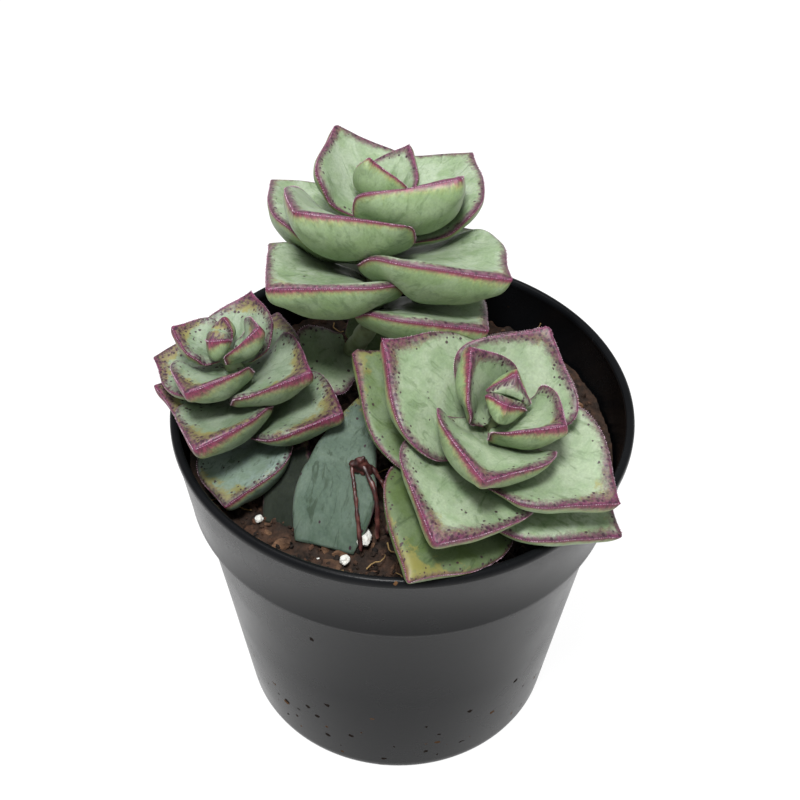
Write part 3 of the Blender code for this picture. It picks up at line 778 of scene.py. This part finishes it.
def turned_shell(profile, steps):
    """A closed outline in the XZ plane, spun once round Z."""
    select()
    bpy.ops.mesh.primitive_plane_add(size=1 * MM, location=(profile[0][0], 0, profile[0][1]))
    obj = bpy.context.object
    form = bmesh.new()
    first = last = form.verts.new((profile[0][0], 0, profile[0][1]))
    for radius, height in profile[1:]:
        point = form.verts.new((radius, 0, height))
        form.edges.new((last, point))
        last = point
    form.edges.new((last, first))
    form.to_mesh(obj.data)
    form.free()
    obj.location = (0, 0, 0)
    bpy.ops.object.mode_set(mode="EDIT")
    bpy.ops.mesh.select_all(action="SELECT")
    bpy.ops.mesh.spin(steps=steps, angle=2 * math.pi, center=(0, 0, 0), axis=(0, 0, 1))
    bpy.ops.mesh.select_all(action="SELECT")
    bpy.ops.mesh.remove_doubles(threshold=JOIN_DISTANCE)
    bpy.ops.mesh.normals_make_consistent(inside=False)
    bpy.ops.object.mode_set(mode="OBJECT")
    return obj


def wall_radius(height, rim_radius, top):
    """The radius of the pot's outer wall at a height."""
    band_foot = top - BAND_DEPTH
    if height < band_foot:
        return FOOT_RADIUS + (SHOULDER_RADIUS - FOOT_RADIUS) * height / band_foot
    return BAND_FOOT_RADIUS + (rim_radius - BAND_FOOT_RADIUS) * (height - band_foot) / BAND_DEPTH


def build_pot(material):
    """The pot: its section turned round Z, with drain holes cut through its floor."""
    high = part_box("pot")[1]
    rim, top = high.x, high.z
    band_foot, lip_foot = top - BAND_DEPTH, top - LIP_DEPTH
    under_lip = lip_foot - 0.4 * MM
    inner_foot = FOOT_RADIUS - WALL
    lip_round = LIP_WIDTH / 2
    profile = [
        (rim - lip_round + lip_round * math.cos(a), top - lip_round + lip_round * math.sin(a))
        for a in (math.radians(d) for d in range(180, -1, -20))
    ]
    # From the lip down the outside, over the foot and up the inside: radius and height, each with mm added.
    rows = [
        (rim, 0, lip_foot, 0.3),
        (rim, -0.15, lip_foot, 0),
        (wall_radius(under_lip, rim, top), -0.05, under_lip, 0),
        (BAND_FOOT_RADIUS, 0.05, band_foot, 1.2),
        (BAND_FOOT_RADIUS, 0, band_foot, 0.4),
        (BAND_FOOT_RADIUS, -0.25, band_foot, 0.05),
        (BAND_FOOT_RADIUS, -0.7, band_foot, -0.1),
        (SHOULDER_RADIUS, 0.15, band_foot, -0.25),
        (SHOULDER_RADIUS, -0.05, band_foot, -0.8),
        (wall_radius(band_foot / 2, rim, top), 0, band_foot / 2, 0),
        (FOOT_RADIUS, 0.45, 0, 2.6),
        (FOOT_RADIUS, 0.25, 0, 1.4),
        (FOOT_RADIUS, -0.1, 0, 0.5),
        (FOOT_RADIUS, -0.6, 0, 0.08),
        (FOOT_RADIUS, -1.3, 0, 0),
        (0, 0.05, 0, 0),
        (0, 0.05, FLOOR_THICKNESS, 0),
        (FOOT_RADIUS, -2.8, FLOOR_THICKNESS, 0),
        (inner_foot, -0.5, FLOOR_THICKNESS, 0.5),
        (inner_foot, 0.3, FLOOR_THICKNESS, 2),
    ]
    profile += [(radius + out * MM, height + up * MM) for radius, out, height, up in rows]
    for height in (band_foot - 0.1 * MM, band_foot + WALL, lip_foot):
        profile.append((wall_radius(height, rim, top) - WALL, height))
    profile.append((rim - LIP_WIDTH, lip_foot + 0.8 * MM))
    pot = turned_shell(profile, POT_STEPS)
    select()
    for i in range(DRAIN_COUNT):
        angle = 2 * math.pi * (i + 0.5) / DRAIN_COUNT
        bpy.ops.mesh.primitive_cylinder_add(
            vertices=48, radius=DRAIN_RADIUS, depth=6 * FLOOR_THICKNESS,
            location=(DRAIN_CIRCLE * math.cos(angle), DRAIN_CIRCLE * math.sin(angle), 0),
        )
        drill = bpy.context.object
        cut = pot.modifiers.new("drain_hole", "BOOLEAN")
        cut.object = drill
        cut.operation = "DIFFERENCE"
        select(pot)
        bpy.ops.object.modifier_apply(modifier=cut.name)
        bpy.data.objects.remove(drill)
    bpy.ops.object.shade_smooth_by_angle(angle=math.radians(35))
    keep(pot, "nursery_pot", "pot_plastic", material, "pot")


def pot_plastic():
    """Black polypropylene, thin and injection moulded: charcoal with a soft grey sheen at the sides, scuffed,
    with specks of dried soil near its foot."""
    m = new_material("moulded_polypropylene")
    place = add(m, "TexCoord").outputs["Object"]
    fine = add(m, "TexNoise", {"Vector": place, "Scale": 1 / (0.5 * MM), "Detail": 2.0})
    haze = clouding(m, place, 22 * MM, 0.35, 0.7, detail=5.0, roughness=0.6)
    body = add(m, "Mix", {0: haze, 6: linear("#0B0C0E"), 7: linear("#131416")}, data_type="RGBA").outputs[2]
    # Scuffs: short pale upright scratches, about 1.4 mm wide and 9 mm long.
    long_way = add(m, "Mapping", {"Vector": place, "Scale": (700.0, 700.0, 110.0)})
    scuff = clouding(m, long_way, 1, 0.68, 0.78, (0.0, 0.5), detail=6.0, roughness=0.7)
    body = add(m, "Mix", {0: scuff, 6: body, 7: linear("#4A4B4B")}, data_type="RGBA").outputs[2]
    # Dried soil: brown specks up to 1.5 mm wide that thicken towards the foot.
    height = add(m, "SeparateXYZ", {0: place}).outputs["Z"]
    low = add(m, "MapRange", {0: height, 1: 3 * MM, 2: 32 * MM, 3: 0.42, 4: 0.015})
    bend = add(m, "TexNoise", {"Vector": place, "Scale": 1 / (1.2 * MM), "Detail": 3.0}).outputs["Color"]
    bent = add(m, "VectorMath", {0: bend, 1: (1.4 * MM,) * 3, 2: place}, operation="MULTIPLY_ADD")
    specks = add(m, "TexVoronoi", {"Vector": bent, "Scale": 1 / (2.6 * MM)})
    draw = add(m, "SeparateColor", {0: specks.outputs["Color"]}).outputs
    width = add(m, "MapRange", {0: draw[1], 3: 0.08, 4: 0.32})
    dirt = add(m, "Math", {0: specks.outputs["Distance"], 1: width}, operation="LESS_THAN")
    rare = add(m, "Math", {0: draw[0], 1: low}, operation="LESS_THAN")
    dirt = add(m, "Math", {0: dirt, 1: rare}, operation="MULTIPLY")
    crumb = add(m, "MapRange", {0: draw[2], 1: 0.55, 2: 0.9})
    crumb = add(m, "Mix", {0: crumb, 6: linear("#1A120D"), 7: linear("#5A4029")}, data_type="RGBA").outputs[2]
    body = add(m, "Mix", {0: dirt, 6: body, 7: crumb}, data_type="RGBA").outputs[2]
    rough = add(m, "MapRange", {0: haze, 3: 0.22, 4: 0.30})
    rough = add(m, "Math", {0: rough, 1: dirt}, operation="MAXIMUM")
    relief = add(m, "Math", {0: dirt, 1: 3.0, 2: fine}, operation="MULTIPLY_ADD")
    bump = add(m, "Bump", {"Height": relief, "Strength": 0.4, "Distance": 0.05 * MM})
    return finished(m, {
        "Base Color": body, "Roughness": rough, "Normal": bump, "IOR": 1.49, "Specular IOR Level": 0.08})


# ---------------------------------------------------------------- soil


def soil_material(name, stops, lump):
    """Damp peat or bark: dark, crumbly and matt, each loose bit in a tone of its own."""
    m = new_material(name)
    place = add(m, "TexCoord").outputs["Object"]
    own = add(m, "Attribute", attribute_name="tone").outputs["Fac"]
    broad = add(m, "TexNoise", {"Vector": place, "Scale": 1 / lump, "Detail": 6.0, "Roughness": 0.7})
    mixed = add(m, "Math", {0: own, 1: broad}, operation="ADD")
    tone = add(m, "ValToRGB", {0: mixed})
    colour_stops(tone, [(position, code, 1.0) for position, code in stops])
    fine = add(m, "TexNoise", {"Vector": place, "Scale": 1 / (0.7 * MM), "Detail": 4.0})
    bump = add(m, "Bump", {"Height": fine, "Strength": 0.8, "Distance": 0.4 * MM})
    return finished(m, {
        "Base Color": tone, "Roughness": 0.85, "Normal": bump, "Specular IOR Level": 0.3})


def scattered(draws, radius):
    """A drawn place in a disc, all parts of it equally likely."""
    angle, reach = draws.uniform(0, 2 * math.pi), radius * math.sqrt(draws.random())
    return reach * math.cos(angle), reach * math.sin(angle)


def soil_rise(x, y):
    """The soil's height above its middle level: lumps of several sizes."""
    flat = np.stack([x, y, np.zeros_like(x)], -1)
    rise = cloud(flat, 11 * MM) * 1.0 + cloud(flat, 4 * MM, 5.0) * 0.9 + cloud(flat, 1.7 * MM, 9.0) * 0.8
    return (rise + np.abs(cloud(flat, 0.9 * MM, 3.0)) * 0.5) * MM


def loose_bits(name, count, sizes, long, flat, steps, seed, radius, level, material):
    """Scatters crumbs or chips over the soil as one mesh: lumpy balls, stretched, flattened and half sunk."""
    draws = random.Random(seed)
    select()
    bpy.ops.mesh.primitive_ico_sphere_add(subdivisions=1, radius=1 * MM)
    piece = bpy.context.object
    form = bmesh.new()
    tone = form.verts.layers.float.new("tone")
    # Flat chips lie down; round crumbs are turned any way.
    lean = 0.45 if flat < 0.6 else 3.0
    for number in range(count):
        x, y = scattered(draws, radius)
        size, tint = draws.uniform(*sizes) * MM, draws.uniform(-0.2, 0.2)
        shape = Matrix.Diagonal((draws.uniform(1.0, long), 1.0, flat * draws.uniform(0.7, 1.3)))
        turn = Euler((draws.gauss(0, lean), draws.gauss(0, lean), draws.uniform(0, 2 * math.pi))).to_matrix()
        rise = float(soil_rise(np.array([x]), np.array([y]))[0])
        place = Vector((x, y, level + rise + size * 0.25 * flat))
        for vertex in bmesh.ops.create_icosphere(form, subdivisions=steps, radius=size / 2)["verts"]:
            lump = 1 + 0.45 * noise.noise(vertex.co / (size * 0.4) + Vector((number, 0.0, 0.0)))
            vertex.co = turn @ shape @ (vertex.co * lump) + place
            vertex[tone] = tint
    form.to_mesh(piece.data)
    form.free()
    keep(piece, name, "soil", material)


def loose_fibres(level, radius, material):
    """Scatters thin bent fibres over the soil, and one twig that stands up by the wall."""
    draws = random.Random(8)
    curve = bpy.data.curves.new("fibres", "CURVE")
    curve.dimensions = "3D"
    curve.bevel_depth = FIBRE_RADIUS
    curve.bevel_resolution = 1
    curve.use_fill_caps = True
    lines = [[Vector(place) * MM for place in TWIG]]
    for _ in range(FIBRE_COUNT):
        place = Vector((*scattered(draws, radius), level + 1.0 * MM))
        heading = draws.uniform(0, 2 * math.pi)
        line = [place]
        for _ in range(5):
            heading += draws.gauss(0, 0.45)
            step = draws.uniform(0.6, 1.6) * MM
            rise = draws.gauss(0, 0.35) * MM
            place = place + Vector((math.cos(heading) * step, math.sin(heading) * step, rise))
            line.append(place)
        lines.append(line)
    for line in lines:
        spline = curve.splines.new("POLY")
        spline.points.add(len(line) - 1)
        for index, (point, place) in enumerate(zip(spline.points, line)):
            point.co = (*place, 1.0)
            point.radius = 1.2 - 0.6 * index / len(line)
    select(link("fibres", curve))
    bpy.ops.object.convert(target="MESH")
    keep(bpy.context.object, "soil_fibres", "soil", material)


def build_soil(foam):
    """One plug of soil, closed below, with crumbs, chips and fibres on it."""
    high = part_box("soil")[1]
    level, radius = high.z - SOIL_DROP, high.x
    select()
    bpy.ops.mesh.primitive_grid_add(x_subdivisions=SOIL_CELLS, y_subdivisions=SOIL_CELLS, size=2.0)
    soil = bpy.context.object
    square = points_of(soil.data)
    x = square[:, 0] * np.sqrt(1 - square[:, 1] ** 2 / 2) * radius
    y = square[:, 1] * np.sqrt(1 - square[:, 0] ** 2 / 2) * radius
    set_points(soil.data, np.stack([x, y, level + soil_rise(x, y)], 1))
    form = bmesh.new()
    form.from_mesh(soil.data)
    border = [edge for edge in form.edges if edge.is_boundary]
    walls = bmesh.ops.extrude_edge_only(form, edges=border)["geom"]
    for vertex in [part for part in walls if isinstance(part, bmesh.types.BMVert)]:
        vertex.co = Vector((vertex.co.x * SOIL_TUCK, vertex.co.y * SOIL_TUCK, level - SOIL_SKIRT))
    bmesh.ops.holes_fill(form, edges=[edge for edge in form.edges if edge.is_boundary], sides=0)
    bmesh.ops.recalc_face_normals(form, faces=form.faces)
    form.to_mesh(soil.data)
    form.free()
    bpy.ops.object.shade_smooth_by_angle(angle=math.radians(60))
    peat_tones = [(0.30, "#120D0A"), (0.46, "#261B14"), (0.58, "#3A281D"), (0.74, "#54392A")]
    bark_tones = [(0.25, "#20150F"), (0.48, "#3C2A20"), (0.64, "#57402F"), (0.82, "#7C5C44")]
    stuffs = {
        "peat": soil_material("damp_peat", peat_tones, 5 * MM),
        "bark": soil_material("bark_chips", bark_tones, 3 * MM),
        "foam": foam,
    }
    straw = soil_material("straw_fibre", [(0.3, "#5C4630"), (0.7, "#A08658")], 4 * MM)
    keep(soil, "potting_soil", "soil", stuffs["peat"], "soil")
    for stuff, rows in LOOSE_BITS.items():
        for *look, reach in rows:
            loose_bits(*look, radius * reach, level, stuffs[stuff])
    loose_fibres(level, radius * FIBRE_REACH, straw)


# ---------------------------------------------------------------- stems, roots, perlite


def smooth_copy(node):
    """A copy of a node's solid, joined, smoothed and ready to be shaped further."""
    form = node_form(node)
    mesh = bpy.data.meshes.new(node.name)
    form.to_mesh(mesh)
    form.free()
    obj = link("copy", mesh)
    select(obj)
    finer = obj.modifiers.new("finer", "SUBSURF")
    finer.levels = finer.render_levels = 2
    bpy.ops.object.modifier_apply(modifier=finer.name)
    bpy.ops.object.shade_smooth()
    return obj


def roughen(obj, lumps):
    """Moves each point along its normal by noise: (lump size, height) pairs."""
    places, normals = points_of(obj.data), points_of(obj.data, "normal")
    shift = sum(cloud(places, size, seed * 7.0) * height for seed, (size, height) in enumerate(lumps))
    set_points(obj.data, places + normals * shift[:, None])


def stem_bark():
    """Soft green-grey stem skin with brownish corky patches."""
    m = new_material("stem_skin")
    place = add(m, "TexCoord").outputs["Object"]
    broad = add(m, "TexNoise", {"Vector": place, "Scale": 1 / (4 * MM), "Detail": 4.0})
    tone = add(m, "ValToRGB", {0: broad})
    colour_stops(tone, [(0.3, "#5C6344", 1.0), (0.5, "#8A9770", 1.0), (0.7, "#9FAD8E", 1.0)])
    fine = add(m, "TexNoise", {"Vector": place, "Scale": 1 / (0.6 * MM), "Detail": 3.0})
    bump = add(m, "Bump", {"Height": fine, "Strength": 0.6, "Distance": 0.2 * MM})
    return finished(m, {"Base Color": tone, "Roughness": 0.6, "Normal": bump})


def root_skin():
    """Dried aerial root: shiny reddish brown."""
    m = new_material("dried_root")
    place = add(m, "TexCoord").outputs["Object"]
    broad = add(m, "TexNoise", {"Vector": place, "Scale": 1 / (2 * MM), "Detail": 4.0})
    tone = add(m, "ValToRGB", {0: broad})
    colour_stops(tone, [(0.3, "#1E1110", 1.0), (0.5, "#42201E", 1.0), (0.7, "#684038", 1.0)])
    return finished(m, {"Base Color": tone, "Roughness": 0.45})


def perlite_foam():
    """Expanded perlite: chalky white glass foam, pitted and dusted with soil."""
    m = new_material("expanded_perlite")
    place = add(m, "TexCoord").outputs["Object"]
    pits = add(m, "TexVoronoi", {"Vector": place, "Scale": 1 / (0.5 * MM)})
    dust = clouding(m, place, 1.5 * MM, 0.5, 0.7, (0.0, 0.6), detail=4.0)
    body = add(m, "Mix", {0: dust, 6: linear("#CFCFC9"), 7: linear("#8A7461")}, data_type="RGBA").outputs[2]
    bump = add(m, "Bump", {"Height": pits, "Strength": 0.7, "Distance": 0.3 * MM})
    return finished(m, {"Base Color": body, "Roughness": 0.9, "Normal": bump})


def build_small_pieces(nodes, foam):
    """The stems, the dried roots with the scar they grow from, and the perlite grains."""
    root = root_skin()
    kinds = {
        "stem": (stem_bark(), "{}_bark", ((3 * MM, 0.25 * MM), (1 * MM, 0.1 * MM))),
        "aerial_root": (root, "dried_{}", ((2 * MM, 0.25 * MM), (0.7 * MM, 0.12 * MM))),
        "perlite": (foam, "{}_grain", ((1.5 * MM, 0.35 * MM), (0.6 * MM, 0.2 * MM))),
    }
    for name in sorted(nodes):
        for kind, (material, title, lumps) in kinds.items():
            if kind in name:
                piece = smooth_copy(nodes[name])
                roughen(piece, lumps)
                keep(piece, title.format(name), kind.split("_")[-1], material, name)
    select()
    bpy.ops.mesh.primitive_ico_sphere_add(subdivisions=4, radius=1.0, location=(0, 0, 0))
    scar = bpy.context.object
    set_points(scar.data, points_of(scar.data) * np.array(ROOT_SCAR_SIZE) + np.array(ROOT_SCAR))
    roughen(scar, ROOT_SCAR_LUMPS)
    bpy.ops.object.shade_smooth()
    keep(scar, "root_scar", "root", root)


# ---------------------------------------------------------------- stage


def build_camera():
    data = bpy.data.cameras.new("camera")
    data.lens = CAMERA_LENS
    data.sensor_width = CAMERA_SENSOR
    data.clip_start = 0.01
    camera = link("camera", data)
    tilt = math.radians(CAMERA_ELEVATION)
    back = Vector((0.0, -math.cos(tilt), math.sin(tilt)))
    camera.location = CAMERA_TARGET + back * CAMERA_DISTANCE
    camera.rotation_euler = (math.pi / 2 - tilt, 0.0, 0.0)
    camera.rotation_euler.rotate_axis("Z", math.radians(CAMERA_ROLL))
    bpy.context.scene.camera = camera


def area_light(name, place, size, power):
    data = bpy.data.lights.new(name, "AREA")
    data.size = size
    data.energy = power
    light = link(name, data)
    light.location = place
    light.rotation_euler = (Vector(LIGHT_TARGET) - Vector(place)).to_track_quat("-Z", "Y").to_euler()


def build_stage():
    world = bpy.data.worlds.new("studio")
    world.use_nodes = True
    sky = world.node_tree.nodes["Background"]
    sky.inputs["Color"].default_value = (1.0, 1.0, 1.0, 1.0)
    sky.inputs["Strength"].default_value = WORLD_LIGHT
    bpy.context.scene.world = world
    area_light("key", **KEY)
    area_light("top_fill", **TOP_FILL)
    select()
    bpy.ops.mesh.primitive_plane_add(size=CARD_SIZE)
    floor = bpy.context.object
    floor.name = "floor"
    floor.data.materials.append(finished(new_material("white_card"), {
        "Base Color": (0.12, 0.12, 0.12, 1.0), "Roughness": 1.0, "Emission Color": (1.0, 1.0, 1.0, 1.0),
        "Emission Strength": CARD_GLOW, "Specular IOR Level": 0.0,
    }))
    bpy.context.scene.view_settings.view_transform = "Standard"


def main():
    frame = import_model()
    nodes = frame["nodes"]
    build_camera()
    build_stage()
    build_leaves(nodes)
    build_pot(pot_plastic())
    foam = perlite_foam()
    build_soil(foam)
    build_small_pieces(nodes, foam)


main()
